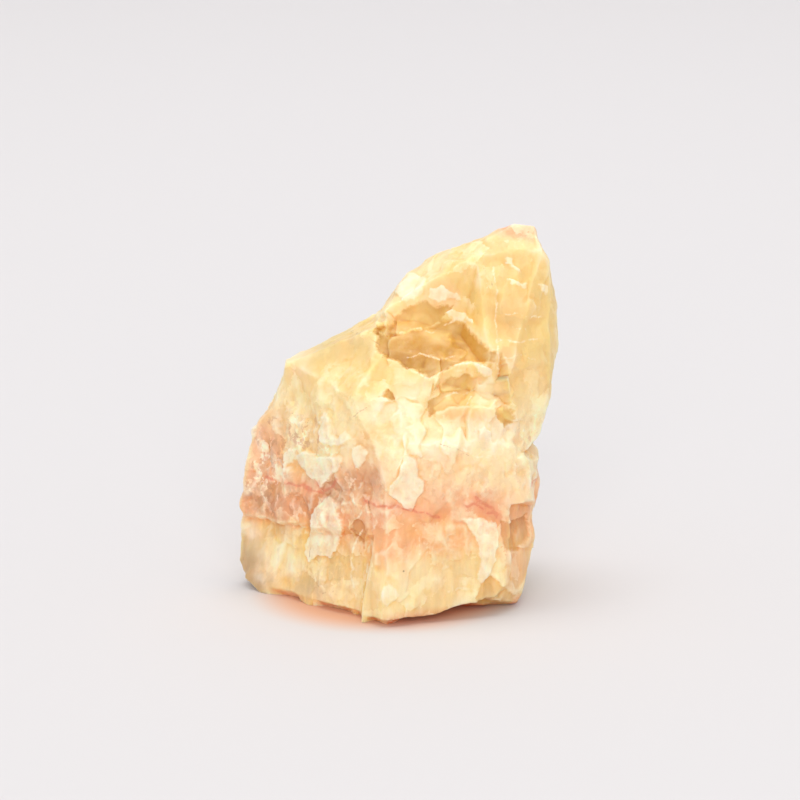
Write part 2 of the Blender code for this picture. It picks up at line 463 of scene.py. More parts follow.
# %% Flakes of the front
FRONT_FLAKES = [
    # white patch above the hollow
    (0.3, [(-1.2, 21.8), (0.4, 24), (2.6, 25.4), (5, 24.2), (4.6, 21.4), (3, 19.8), (0.6, 19.4)]),
    # rim right of it
    (0.2, [(5.6, 20.6), (6, 22.2), (8.2, 22.8), (10.4, 21.8), (12, 20), (9.6, 20.2), (7.6, 19.4)]),
    # lens on the brow
    (0.3, [(9.2, 17.4), (11, 18), (13.2, 17.2), (14.6, 15.4), (11.6, 15.8), (9.8, 16.2)]),
    # high streak
    (0.3, [(21.4, 28.6), (22.4, 28.2), (22.8, 27), (24.2, 25.4), (22.4, 26), (21, 27.4)]),
    # streak below it
    (0.2, [(21, 24.6), (23, 23.8), (25.2, 23.2), (24.8, 22.4), (22.6, 23.4)]),
    # chip at the right edge
    (0.2, [(27.6, 23.2), (29.6, 22.8), (29.4, 21), (28.2, 21.8)]),
    # splinter
    (0.4, [(14.2, 7.6), (16.2, 6.8), (18.4, 6), (17.8, 4.8), (16, 5.4)]),
    # long splinter
    (0.4, [(19.4, 3.2), (20.6, 1.6), (23.4, -1.4), (21, -0.4), (19.8, 1.2)]),
    # spire
    (0.5, [(0.8, -7.4), (1.6, -10.4), (3.2, -12), (3.4, -14.4), (4.8, -16.4), (4.6, -18.4),
     (3, -20), (2.4, -22.2), (0.8, -21.4), (-0.8, -19.6), (-2.2, -19), (-1.8, -17.2), (-0.4, -15.6),
     (0, -13.2), (0.6, -11)]),
    # horseshoe
    (0.35, [(-15, -1.8), (-14, -4), (-13.8, -7), (-12.4, -7.4), (-10.8, -6.2), (-10, -7.4),
     (-11.6, -8.8), (-14, -9.4), (-16, -8.4), (-16.6, -6.4), (-15.8, -4)]),
    # wedge
    (0.4, [(-20.6, -9.6), (-20.6, -11.8), (-22, -12.4), (-22.8, -14), (-24.8, -15.8),
     (-26.4, -15.6), (-27.2, -14), (-25, -12.6), (-23, -11), (-22, -9.6)]),
    # arrowhead
    (0.6, [(-20.4, -11), (-18.4, -10.4), (-16, -11.4), (-12.4, -11.2), (-11, -12.4), (-12.6, -14),
     (-14.4, -15.6), (-15.4, -17.4), (-16.6, -16), (-18.4, -14.4), (-20, -13)]),
    # leaf
    (0.6, [(-14, -19.4), (-12.4, -20.6), (-12, -23), (-11, -25.6), (-12, -29), (-13.8, -31.2),
     (-16, -30.6), (-18, -32.4), (-19, -31), (-18.4, -28), (-17.4, -26), (-17.6, -23),
     (-16, -20.6)]),
    # strip
    (0.35, [(12.6, -23.8), (16, -23.4), (19, -24.6), (19.6, -27), (19, -30), (18.6, -33),
     (17.4, -35.4), (16.4, -37.2), (15.6, -35.6), (16, -32), (15.6, -29), (14.4, -26.4)]),
    # drop
    (0.2, [(-4, -38.4), (-2.4, -36.4), (-0.8, -37.6), (-0.4, -39.2), (-2.6, -41.4), (-4.2, -40.2)]),
    # left ledge chip
    (0.3, [(-9.6, -9.6), (-8, -9), (-6.4, -10.4), (-6.8, -12.4), (-8.6, -13.6), (-9.6, -11.8)]),
]
print(len(FRONT_FLAKES), "flakes on the front")

# %% [markdown]
# ## Windows
# Where a plate came off deep, fresh clear stone shows: amber high up in the honey band, and brown
# lower down by the rusty seams. These lie a little lower than the skin round them.

# %% Windows of the front
FRONT_WINDOWS = [
    # upper half of the hollow under the brow
    (-0.3, [(-5, 14.2), (-1.4, 15.4), (-0.4, 17.4), (1.6, 18.8), (5.4, 20.2), (6.6, 19), (10.8, 19),
     (9.2, 17.6), (8, 16), (6.2, 14.9), (3, 14.2), (0, 13.4), (-3, 13)]),
    # its deeper lower half
    (-0.6, [(-5.2, 13.8), (-3, 13), (0, 13.6), (3, 14.4), (6, 14.7), (8, 16), (10.4, 16.4),
     (13.4, 15), (15.2, 12.8), (19, 9.6), (18.6, 7.8), (13.6, 7.8), (9.8, 6.6), (6.4, 4.4),
     (4.6, 5.2), (1.6, 6.4), (-0.4, 7.8), (-3.2, 8.4), (-5, 10.2)]),
    # lower hollow
    (-0.45, [(8, 2.8), (10, 4.4), (13, 5), (16.2, 4.8), (19, 3), (19.4, 0.6), (18, -1), (15, -0.8),
     (11, -1.4), (8, -2), (6, -3.4), (5.8, -0.6), (7.6, 1)]),
    # small notch
    (-0.5, [(-4.6, 0.6), (-2.4, 2.2), (-0.8, -0.4), (-2.4, 0.2)]),
    # green pit
    (-0.4, [(19, -1.6), (20.6, -1), (23, -2.2), (23.4, -4), (21, -5.4), (19.4, -3.6)]),
    # brown patch at the end
    (-0.5, [(20, -24), (22.6, -24.6), (25.4, -22.8), (26, -27.2), (23.4, -30.6), (21.4, -30.2),
     (20.4, -27.2)]),
    # patch at the foot
    (-0.4, [(16.2, -36.4), (18.2, -35.4), (20.6, -37.2), (23, -39.2), (22.4, -41.2), (16.4, -41),
     (15, -40.4)]),
    # gap beside the leaf
    (-0.5, [(-9.8, -24.6), (-8.4, -23.8), (-7.0, -24.9), (-6.6, -26.6), (-7.2, -29.4),
     (-8.2, -28.2), (-8.9, -26.9), (-10.0, -26.2)]),
]
print(len(FRONT_WINDOWS), "windows on the front")

# %% [markdown]
# ## The other sides
# A vein breaks the same way all round, so the other sides have flakes and windows too. Nothing
# fixes their places, so they are scattered: each is a rough ring on one of six more sheets.

# %% Scattered outlines
OTHER_SIDES = [55, 100, 145, 190, 240, 290]
CORNERS, LEAST_REACH, REACH_SPREAD = 13, 0.65, 0.7
TALLER = 0.9
SIDE_REACH = 24
SQUARE_ON = 0.75
MARK_EDGE = 0.35


def ring(middle, size, stretch, salt):
    """Corners at middle + size * (cos a, stretch * sin a) * (least + spread * draw)."""
    angles = np.linspace(0, 2 * np.pi, CORNERS, endpoint=False)
    cells = np.stack([np.arange(CORNERS), np.full(CORNERS, salt), np.zeros(CORNERS)], axis=1)
    reach = size * (LEAST_REACH + REACH_SPREAD * scatter(cells, salt))
    return middle + np.stack([np.cos(angles), stretch * np.sin(angles)], axis=1) * reach[:, None]


def scattered(azimuth, count, sizes, lowest, highest, salt):
    """Rings placed by draws across the side, from lowest to highest, with radii in the sizes."""
    cells = np.stack([np.arange(count), np.full(count, azimuth), np.zeros(count)], axis=1)
    across, up, size, stretch = (scatter(cells, salt + number) for number in range(4))
    middles = [2 * SIDE_REACH * across - SIDE_REACH, lowest + (highest - lowest) * up]
    radii = sizes[0] + (sizes[1] - sizes[0]) * size
    drawn = zip(np.stack(middles, axis=1), radii, 1 + TALLER * stretch, salt + np.arange(count))
    return [ring(*one) for one in drawn]


def mark(front_marks, count, sizes, lowest, highest, lift, salt):
    """The largest inset of all outlines, and the lift of the outlines that each point is inside."""
    drawn = [(0, height, outline) for height, outline in front_marks]
    for side in OTHER_SIDES:
        rings = scattered(side, count, sizes, lowest, highest, salt + side)
        drawn += [(side, lift, outline) for outline in rings]
    depth = np.full(len(points), -REACH)
    raised = np.zeros(len(points))
    for azimuth, height, outline in drawn:
        square_on = (towards(azimuth) > SQUARE_ON) & (towards(0) < 0)
        depth_here = inset(on_sheet(points, azimuth), outline) + tear
        here = np.where(square_on if azimuth else on_front, depth_here, -REACH)
        raised += height * np.clip(here / MARK_EDGE + 0.5, 0, 1)
        depth = np.maximum(depth, here)
    return depth, raised


flake, flake_lift = mark(FRONT_FLAKES, 7, (1.0, 3.6), -34, 30, 0.35, 300)
window, window_lift = mark(FRONT_WINDOWS, 3, (1.6, 4.4), -30, 28, -0.4, 400)
marked = [100 * np.mean(depth > 0) for depth in (flake, window)]
print("skin under flakes: %.0f%%, under windows: %.0f%%" % tuple(marked))

# %% [markdown]
# ## Rusty seams and painted highlights
# Iron stained the salmon band along thin broken lines. Pale lines along ridges and lips are painted
# highlights, where fresh edges catch the light. On the front both are drawn. Elsewhere one rusty
# line runs round the stone at a wandering height, with gaps where a swell says so.

# %% Seams and painted highlights
FRONT_SEAMS = [
    # left end
    [(-31.6, -15.2), (-30, -15.6), (-28.4, -15.4), (-27.2, -16.2)],
    [(-26.4, -16), (-24, -16.4), (-21.6, -17), (-19.2, -17.4), (-17, -18.2), (-15.6, -18.8)],
    [(-16.4, -16.8), (-15.2, -18.2), (-13.4, -17.2), (-12.6, -15.8)],
    # thin seam over the slab
    [(-7.2, -20.2), (-5.4, -20.8), (-3, -21.4), (-0.4, -21.6), (2, -22), (4.8, -22.6), (8, -23.6)],
    # right end
    [(13.2, -21.2), (14.8, -20.6), (16, -21.4), (17.4, -22.4), (19.4, -22.8)],
    [(14.8, -19.4), (16.4, -20.6), (18.4, -21.4), (19.4, -23.8)],
]
# Painted highlights: pale lines along the ridge, the lips of the hollows and the edges of the slab.
FRONT_PAINTED_HIGHLIGHTS = [
    # ridge, and the lip, shelf and floor of the hollow
    [(18.6, 27), (19.4, 22), (19.2, 16), (19.6, 10), (19.8, 3)],
    [(0.8, 6.9), (3, 5.8), (4.8, 4.8), (6, 4.4), (7.6, 5.6), (10, 6.6), (13.6, 7.4), (17.4, 7.2)],
    [(3.4, 14.4), (6.4, 14), (8.4, 15.2), (10, 15.8), (12, 16.6)],
    [(1.4, 8.8), (4, 9.6), (8, 8.4), (11, 8.8)],
    # right face
    [(19.8, 17.2), (23, 17.4), (26, 16.4), (28.4, 16.8)], [(20, 12), (24, 11.6), (28, 12.2)],
    [(21, 8.4), (24, 9), (27, 8.2)], [(22.6, 14.6), (25.4, 14.2)],
    # small hollow and below it
    [(8.8, 0.4), (11, 1.8), (13.4, 1.4), (15.4, 2.6)], [(13.6, -1.2), (14.6, 0.8)],
    [(16, -1.4), (16.8, 0.8)],
    [(2, -8.6), (5, -8.8), (8.6, -8), (12, -9.6), (16, -11.6), (18, -11.4)],
    # over the arrowhead
    [(-24, -9.4), (-20, -10.4), (-16, -10.8), (-12.6, -10.6), (-11, -9.2)],
    # top, left edge and face of the slab
    [(-8.6, -23.6), (-7.4, -22.2), (-5.6, -22.6), (-4.4, -24.4), (-5.6, -26.6)],
    [(-8, -26.4), (-9.2, -30), (-9.6, -35), (-9, -40)], [(-6.2, -29), (-6.6, -34.6)],
    [(3.6, -27), (4, -31)], [(9, -38.8), (13, -37.8), (16, -38.2)],
    # left end
    [(-31, -22.6), (-27, -23.4), (-24.4, -23)], [(-30.6, -26.8), (-27, -28.4), (-24, -28)],
]
BEND_LENGTH, BEND_REACH = 1.4, 0.35
# The seam round the other sides: its height, its swells (length, reach, salt), and its gaps.
SEAM_HEIGHT = 24.0
SEAM_SWELLS = [(15, 3.5, 97), (2.5, 0.8, 98)]
SEAM_GAP, SEAM_PATCH = 3.0, (5, 99, 1, 0.1)
ROUND_FROM = 0.35


def bend(length, reach, salt):
    """reach * (swell(p / length, salt), swell(p / length, salt + 1)): a shift on the sheet."""
    return reach * np.stack([swell(points / length, salt + axis) for axis in range(2)], axis=1)


def to_lines(lines):
    """The distance from each point of the front to the nearest of the bent lines, or REACH."""
    runs = [(line[:-1], line[1:]) for line in map(np.array, lines)]
    starts, ends = (np.concatenate(part) for part in zip(*runs))
    return np.where(on_front, segments(bent, starts, ends), REACH)


bent = front + bend(BEND_LENGTH, BEND_REACH, 95)
painted_highlight = to_lines(FRONT_PAINTED_HIGHLIGHTS)
off_seam = points[:, 2] - SEAM_HEIGHT
for length, reach, salt in SEAM_SWELLS:
    off_seam -= reach * swell(points / length, salt)
round_seam = np.abs(off_seam) + SEAM_GAP * patches(points, *SEAM_PATCH)
round_seam = np.where(towards(0) < ROUND_FROM, round_seam, REACH)
seam = np.minimum(to_lines(FRONT_SEAMS), round_seam)
print("skin within 0.3 mm of a rusty seam: %.1f%%" % (100 * np.mean(seam < 0.3)))

# %% [markdown]
# ## Cracks and specks
# A few dark hairlines run where the stone began to part. They are kept as distances too. One
# grain of dark grit in the front is kept as the number of the skin's nearest point.

# %% Cracks and a speck
FRONT_CRACKS = [
    # under the left shoulder, and left of the slab
    [(-9.6, -3.8), (-8.4, -2.8), (-7.2, -2), (-6.4, -1)], [(-6.4, -20), (-6.2, -22), (-5.8, -23.4)],
    # below the crest, and the left rim of the hollow
    [(16.4, 26.6), (18, 24.8), (18.8, 22.6)], [(-10, 13.8), (-6.2, 12.6), (-4.2, 10.8), (-3, 8.4)],
    # scattered
    [(2.4, -21.2), (3.4, -21.6)], [(8, -8.8), (12, -10.2), (15, -12)],
    [(-17.4, -28.8), (-17.8, -31)], [(-24.8, -8.2), (-23.6, -9)], [(-15.6, -38.6), (-13.4, -38)],
]
SPECK, SPECK_RADIUS = (0.7, -34.3), 0.34

crack = to_lines(FRONT_CRACKS)
from_speck = np.linalg.norm(front - SPECK, axis=1)
speck_index = np.argmin(np.where(on_front, from_speck, from_speck + REACH))
print("skin within 0.2 mm of a drawn crack: %.2f%%" % (100 * np.mean(crack < 0.2)))

# %% [markdown]
# ## Rough and clean ground
# Up to here the skin is the solid's own. The forms that are too small for the solid differ from
# place to place: much of the stone is shattered, but where it cleaved cleanly or is clear right
# through, it is plain. Slow swells say where, and on the front so do ovals.

# %% How rough each place is
ROUGH_PATCH, ROUGH_MEAN, ROUGH_SWING, ROUGH_LIMITS = 9, 0.7, 1.5, (0.1, 1.4)
ROUGH_LEVELS = [(13, 0.3), (19, 1), (38, 1), (44, 0.45)]
ROUGH_SPOTS = [((-20, -15), (11, 18), 0.9), ((-20, -36), (13, 7), 0.9), ((20, 6), (5, 8), 0.3)]
CLEAR_SPOTS = [
    ((23, 14), (7, 15)), ((-26, -34), (9, 8)), ((14, -2.5), (6, 2.2)), ((6, 13), (11, 7)),
    ((-12, 11), (8, 4)),
]
CLEAN_SPOT = (25, 8), (7, 10)
CLEAN_PATCH, BROKEN_PATCH = ((13, 13, 17), 85, 2.5, -0.2), (2.2, 87, 1.5, 0.8)
WINDOW_ROUGH, CLEAR_ROUGH = 0.55, 0.5


def oval_share(middle, half_sizes):
    """exp(-(squared distance, in half sizes)^2) on the front sheet, fading round the sides."""
    spread = np.sum(((front - middle) / half_sizes) ** 2, axis=1)
    return np.exp(-(spread**2)) * facing_front


clear = np.max([oval_share(*spot) for spot in CLEAR_SPOTS], axis=0)
rough = np.clip(ROUGH_MEAN + ROUGH_SWING * swell(points / ROUGH_PATCH, 31), *ROUGH_LIMITS)
rough *= profile(points[:, 2], ROUGH_LEVELS)
rough += sum(gain * oval_share(*spot) for *spot, gain in ROUGH_SPOTS)
rough *= np.where(window > 0, WINDOW_ROUGH, 1)
rough *= 1 - CLEAR_ROUGH * clear
clean = np.maximum(patches(points, *CLEAN_PATCH), oval_share(*CLEAN_SPOT))
clean *= patches(points, *BROKEN_PATCH)
print("roughness: %.2f to %.2f" % (rough.min(), rough.max()))

# %% [markdown]
# ## Fine relief
# More plates, down to a grain's width, lie thick on rough ground. The lower half grew as thin
# upright columns, which leave ribs. Where the stone cleaved cleanly, the break climbs in fine
# treads. Ribs and treads are noise in a stretched space.

# %% Small plates, ribs and treads
FINE_PLATES = [(2.9, 4.4, 0.24, 0.14, 0.9), (1.4, 2.3, 0.11, 0.14, 0.45)]
RIBS = [((1.7, 1.7, 14.0), 0.26), ((0.85, 0.85, 8.0), 0.14)]
LUMPS = [(2.6, 0.16), (1.3, 0.09), (0.65, 0.04)]
COLUMNS_TOP, COLUMNS_FADE, COLUMNS_LEAST = 30, 14, 0.12
TREAD_RISE, TREAD_HEIGHT, TREAD_LEAN = 0.95, 0.1, (0.12, 0.10, 1.0)
TREAD_BEND, TREAD_PATCH = 0.8, 4.0
MILK_SHARES, CLEAR_MILK = [0.15, 0.3, 0.35, 0.2], 0.8


def treads(places):
    """height * clean * (sawtooth of (p . lean + bend * swell(p)) / rise - 1/2)."""
    climb = (places @ TREAD_LEAN + TREAD_BEND * swell(places / TREAD_PATCH, 81)) / TREAD_RISE
    return TREAD_HEIGHT * clean * (climb - np.floor(climb) - 0.5)


columns = np.clip((COLUMNS_TOP - points[:, 2]) / COLUMNS_FADE, COLUMNS_LEAST, 1)
fine_layers = layered(FINE_PLATES, 3)
relief = flake_lift + window_lift - rough * sum(depth for depth, _ in fine_layers)
combed = columns * swells(points, RIBS, 71) + treads(points) + swells(points, LUMPS, 75)
stepped = points + way * (relief * hold)[:, None]
points = stepped + way * (combed * hold)[:, None]
milk = sum(share * cloudy for share, (_, cloudy) in zip(MILK_SHARES, layers + fine_layers))
milk *= 1 - CLEAR_MILK * clear
print("fine relief: %.2f to %.2f mm" % (relief.min(), relief.max()))

# %% [markdown]
# ## Chips along the foot
# The edge that a stone stands on chips first. Its lowest millimetre or so is drawn inwards where
# a swell round the stone says so, which leaves small dark gaps. What stands on the ground further
# in stays.

# %% Foot chips
CHIP_PATCH, RING_RADIUS = (3.4, 89, 2.4, 0.55), 25
CHIP_HEIGHT, CHIP_REACH, CHIP_CURVE = 1.5, 2.4, 0.6
EDGE_FROM, EDGE_WIDTH = 4, 6

ring_way = [np.cos(np.radians(turns)), np.sin(np.radians(turns)), 0 * turns]
chipped = patches(np.stack(ring_way, axis=1) * RING_RADIUS, *CHIP_PATCH)
chipped = chipped * np.clip(1 - points[:, 2] / CHIP_HEIGHT, 0, 1) ** CHIP_CURVE
arm = (points - start)[:, :2]
arm_length = np.maximum(np.linalg.norm(arm, axis=1), 1)
edge_share = np.clip((arm_length - EDGE_FROM) / EDGE_WIDTH, 0, 1)
points[:, :2] -= arm * (CHIP_REACH * chipped * edge_share / arm_length)[:, None]
print("points drawn in at the foot:", np.count_nonzero(chipped * edge_share))

# %% [markdown]
# ## Knocks and hollows
# Every edge of a calcite lump is bruised white, and the same edges get a painted highlight. Every
# hollow gets painted shade. Both follow from the shape itself: a point that stands out from the
# softened skin is an edge, and one that lies below it is a hollow.

# %% How far the skin stands out
def soften(grid, cells):
    """Three passes of a running mean over 2 * cells + 1 values, round the stone and up it."""
    width = 2 * cells + 1
    for axis, edge in [(1, "wrap"), (0, "edge")] * 3:
        lines = np.moveaxis(grid, axis, 0)
        sums = np.cumsum(np.pad(lines, [(cells + 1, cells), (0, 0)], mode=edge), axis=0)
        grid = np.moveaxis((sums[width:] - sums[:-width]) / width, 0, axis)
    return grid


reach = np.linalg.norm(stepped - start, axis=1)[:-2].reshape(len(rises), AROUND)


def stands_out(fine, coarse):
    """soften(reach, fine) - soften(reach, coarse), in mm, with 0 at both poles."""
    return np.append((soften(reach, fine) - soften(reach, coarse)).ravel(), [0, 0])


knock_fine = stands_out(0, 1)
knock = stands_out(1, 5)
basin = stands_out(4, 26)
highest = tuple(out.max() for out in (knock_fine, knock, basin))
print("stands out by up to %.2f, %.2f and %.2f mm" % highest)

# %% [markdown]
# ## Colour bands
# The bands lie almost level, as they grew. The colour at each height is read between stops, after
# swells bend the height. The skin and the fresh stone in the windows each have their own bands.
# One function turns the usual hex colours to linear light.

# %% Bands
def linear(hex_colour):
    """sRGB to linear: c / 12.92 below 0.04045, else ((c + 0.055) / 1.055) ^ 2.4."""
    value = np.array([int(hex_colour[place : place + 2], 16) for place in (1, 3, 5)]) / 255
    return np.where(value <= 0.04045, value / 12.92, ((value + 0.055) / 1.055) ** 2.4)


PALETTE = {
    "straw": "#F5D79B", "honey": "#F1D18A", "pale honey": "#F5DBA2", "cream": "#FFDEAF",
    "milk": "#FFE8C7", "apricot": "#F6B97D", "salmon": "#F1B387", "rose": "#ECA377",
    "mauve": "#DC9B73", "blush": "#F8C89F", "olive": "#DAC48D", "beige": "#D2AC79",
    "sand": "#EAC58D", "tan": "#E6B973", "amber": "#D4A042", "deep amber": "#C68C22",
    "clay": "#D69861", "taupe": "#C7A071", "dusk": "#C39672", "moss": "#E5BB66", "putty": "#D2B68A",
    "shell": "#E6C49C",
}
COLOURS = {name: linear(colour) for name, colour in PALETTE.items()}
SKIN_BANDS = [
    (0, "straw"), (11, "straw"), (14.5, "apricot"), (20, "salmon"), (25, "blush"), (31, "cream"),
    (36, "cream"), (41, "pale honey"), (48, "honey"), (70, "honey"), (74, "pale honey"),
    (76, "blush"),
]
FRESH_BANDS = [
    (0, "tan"), (12, "tan"), (18, "clay"), (28, "clay"), (36, "moss"), (44, "amber"), (70, "amber"),
    (76, "honey"),
]
BAND_SWELLS = [(16.0, 2.4), (5.0, 1.0), (1.5, 0.4)]


def banded(bands):
    """The colour between band stops at z + the sum of height * swell(p / length)."""
    height = points[:, 2] + swells(points, BAND_SWELLS, 61)
    stops, names = zip(*bands)
    shades = np.array([COLOURS[name] for name in names])
    return np.stack([np.interp(height, stops, channel) for channel in shades.T], axis=1)


skin_tint = banded(SKIN_BANDS)
fresh_tint = banded(FRESH_BANDS)
print("mean tint of the skin:", skin_tint.mean(axis=0).round(2))

# %% [markdown]
# ## Smudges
# Within a band the colour is not even. Each smudge is a soft oval of one colour on the front
# sheet, and its rim is bent by swells so that it doesn't look sprayed on. A few are painted light:
# pale ovals that lighten shaded hollows and a crevice wall, and a clay one along the foot that is
# partly the stone's colour and partly a painted glow and shadow.

# %% Smudges of the front
# colour, middle across and up, half width, half height, and strength
SKIN_SMUDGES = [
    # crest and right face
    ("rose", 24.5, 34.2, 4.4, 2.0, 0.95), ("honey", 22, 20, 6, 12, 0.7), ("tan", 23, 18, 5, 5, 0.7),
    ("tan", 15, 30.4, 7, 2.4, 0.4), ("tan", 20.5, 26, 4, 3, 0.35), ("tan", 22, 6, 3.2, 6, 0.6),
    ("tan", 14, -2.6, 5, 1.8, 0.7), ("tan", 29.2, 2, 1.0, 3.5, 0.7), ("rose", 14, -18, 2, 3, 0.8),
    ("cream", 27, 3, 2.6, 4, 0.4),
    # brow and its left side
    ("milk", 8, 27, 3, 3, 0.5), ("honey", 14, 21, 5, 8, 0.8), ("cream", 2, 23, 4, 4, 0.8),
    # the milk oval at 18, 2 is painted light on a shaded crevice wall
    ("pale honey", 6, 18, 7, 2.6, 0.6), ("cream", 8, 2.4, 4, 3, 0.6), ("milk", 18, 2, 2.4, 3, 0.9),
    ("cream", -4, 18, 3, 3, 0.7), ("blush", 9, 21, 3, 2, 0.5),
    # left shoulder
    ("olive", -11, 11, 7, 4, 0.8), ("tan", -12, 10, 4.5, 3, 0.5), ("olive", -18, 9, 5, 4, 0.9),
    ("cream", -20, 8, 3, 5, 0.5), ("honey", -12, 5, 6, 4, 0.7), ("straw", -14, -1, 6, 4, 0.5),
    # cream heart of the stone
    ("milk", 2.4, -2, 3.4, 6.4, 0.9), ("milk", 12, -6, 14, 4, 0.6), ("milk", 9, -10, 8, 2.2, 0.7),
    ("honey", 5.4, 0, 2, 2, 0.4), ("milk", -4, -2, 6, 2.4, 0.8), ("milk", 19, -7.6, 5, 4.4, 0.8),
    ("tan", 11.6, -2.2, 3, 1.7, 0.9), ("tan", -6.2, -8, 3, 4, 0.7),
    ("tan", 6.4, -2.4, 1.4, 1.6, 0.5),
    # salmon band
    ("salmon", -28, -9, 5, 8, 0.8), ("mauve", -27, -12, 3, 3, 0.4), ("sand", -24, -4, 4, 3, 0.6),
    ("dusk", -28, -19, 5, 4, 0.6), ("mauve", -22, -21.6, 5, 2.6, 0.7),
    ("mauve", -15, -18, 5, 3.4, 0.9), ("dusk", -14, -17, 4, 2.4, 0.5),
    ("mauve", -7, -16, 4, 4, 0.8), ("salmon", 8, -13, 10, 2.4, 0.4), ("blush", 8, -18, 9, 2.5, 0.7),
    ("salmon", 8, -22.5, 8, 2.5, 0.5), ("cream", 24, -14, 5, 7, 0.8), ("cream", 17, -14, 6, 3, 0.7),
    ("rose", 16.4, -20.6, 2.2, 2.2, 0.4),
    # lower front slab
    ("rose", -6, -23, 5, 2.4, 0.5), ("apricot", 6, -26, 11, 2.8, 0.9),
    ("cream", 4, -34, 7, 3.4, 0.75), ("salmon", 23, -32, 3, 5, 0.6), ("clay", 24, -37, 4, 3, 0.3),
    # lower left
    ("sand", -24, -25.5, 7, 2, 0.8), ("shell", -30.4, -26, 4.4, 3, 0.9),
    ("putty", -30.5, -33.6, 6, 6, 0.9), ("milk", -29, -25.4, 5, 2.2, 0.6),
    ("taupe", -29, -34.4, 4, 4.2, 0.75), ("milk", -22.6, -31.4, 4.6, 4.2, 0.95),
    ("sand", -13, -33, 5, 5, 0.45), ("putty", -17, -38.2, 4, 2.4, 0.7),
    # the clay oval along the foot is partly the stone's colour, partly a painted glow and shadow
    ("taupe", -9, -27, 2, 3.4, 0.4), ("clay", -19, -42.4, 6, 1.2, 0.6),
]
FRESH_SMUDGES = [
    # Painted light: the honey oval on the hollow's roof, the pale honey one under its lip and the
    # milk one at 19.6, 3 on the crevice wall lighten shaded places.
    ("deep amber", 3.4, 9.6, 8, 4, 0.95), ("tan", 2, 17, 5, 3, 0.6),
    ("deep amber", -2, 10, 4, 3, 0.6), ("honey", 5, 17, 6, 2.4, 0.6),
    ("pale honey", 8, 6, 5, 2.4, 0.5), ("honey", 15, 9, 3, 2, 0.4), ("pale honey", 9, 1, 4, 4, 0.6),
    ("honey", 17, 1, 5, 4, 0.85), ("milk", 17.4, 1.8, 2, 2.6, 0.9),
    ("pale honey", 8, 14, 3, 2, 0.7), ("milk", 19.6, 3, 2, 3.6, 0.9), ("moss", 21, -3, 3, 3, 0.8),
    ("rose", 14, -18, 3, 4, 0.5),
]
rim_bend = bend(4.0, 1.5, 51) + bend(1.2, 0.6, 53)


def laid_over(tint, colour, share):
    """tint * (1 - share) + colour * share."""
    share = share[:, None]
    return tint * (1 - share) + colour * share


def smudged(tint, smudges):
    """Tint (1 - share) + colour share, smudge by smudge: share = strength exp(-distance^3)."""
    for name, across, up, wide, tall, strength in smudges:
        spread = np.sum(((front + rim_bend - (across, up)) / (wide, tall)) ** 2, axis=1)
        share = strength * np.exp(-(spread**1.5)) * facing_front
        tint = laid_over(tint, COLOURS[name], share)
    return tint


print(len(SKIN_SMUDGES) + len(FRESH_SMUDGES), "smudges")

# %% [markdown]
# ## Drifts
# Colour drifts on the other sides too, but nothing fixes where. Each drift is one colour that
# shows where a swell and the height allow it, and it fades out on the front. Fresh stone is less
# clear there than in the front's windows.

# %% Drifts of the other sides
# colour, length of the swell, height range in mm, and strength
DRIFTS = [
    ("amber", 9.0, 36, 72, 0.55), ("cream", 7.0, 30, 76, 0.8), ("olive", 8.0, 40, 70, 0.6),
    ("mauve", 8.0, 14, 30, 0.7), ("beige", 9.0, -4, 15, 0.9), ("blush", 6.0, 18, 40, 0.7),
]
DRIFT_FADE, DRIFT_SWING, OFF_FRONT, SIDE_FRESH = 5, 2.5, 0.85, 0.4


def drifted(tint):
    """Tint (1 - share) + colour share, drift by drift: share = strength * height * swell * side."""
    above = points[:, 2]
    for number, (name, length, low, high, strength) in enumerate(DRIFTS):
        bottom = np.clip((above - low) / DRIFT_FADE, 0, 1)
        within = bottom * np.clip((high - above) / DRIFT_FADE, 0, 1)
        cloud = patches(points, length, 110 + number, DRIFT_SWING, 0)
        share = strength * within * cloud * (1 - OFF_FRONT * facing_front)
        tint = laid_over(tint, COLOURS[name], share)
    return tint


skin_tint = smudged(drifted(skin_tint), SKIN_SMUDGES)
fresh_tint = smudged(fresh_tint, FRESH_SMUDGES)
how_fresh = SIDE_FRESH + (1 - SIDE_FRESH) * facing_front
fresh_tint = skin_tint + (fresh_tint - skin_tint) * how_fresh[:, None]
print(len(DRIFTS), "drifts")

# %% [markdown]
# ## Bruises, painted highlights, painted shade and painted glow
# Now the shape speaks. Edges go towards white: partly bruising, partly a painted highlight. Hollows
# are multiplied by a warm colour, a painted shade that deepens them. In the gaps under the foot a
# deep orange is painted, a painted glow and shadow for the light that has come through the stone.

# %% Painted highlight, shade and glow from the shape
# Pale colour of bruised edges, which also serves as their painted highlight.
BRUISE_AND_HIGHLIGHT = linear("#FFF0DA")
# Painted shade: the warm colour that hollows are multiplied by.
PAINTED_SHADE_TINT = np.array([0.985, 0.89, 0.65])
# Painted glow and shadow under the foot: deep orange for light that has come through the stone.
PAINTED_GLOW = linear("#E06A14")
FRESH_BRUISE_AND_HIGHLIGHT, BRUISE_AND_HIGHLIGHT_PATCH = 0.6, (3, 41, 1.6, 0.4)
# The gap under the lower front, where the painted glow goes: its height, left end, fade and depth.
GAP_HEIGHT, GAP_LEFT, GAP_FADE, GAP_FRONT = 3.0, -4, 3, 6
GAP_PAINTED_GLOW, CHIP_PAINTED_GLOW = 1.1, 0.55
# How far out or in, in mm, has the full effect, and the strength of a bruise with its painted
# highlight. Hollows get painted shade.
EDGE_BRUISES_AND_HIGHLIGHTS = [(knock_fine, 0.08, 0.22), (knock, 0.4, 0.2)]
PAINTED_SHADE_HOLLOWS = [(knock_fine, 0.3), (knock, 0.8), (basin, 3.0)]
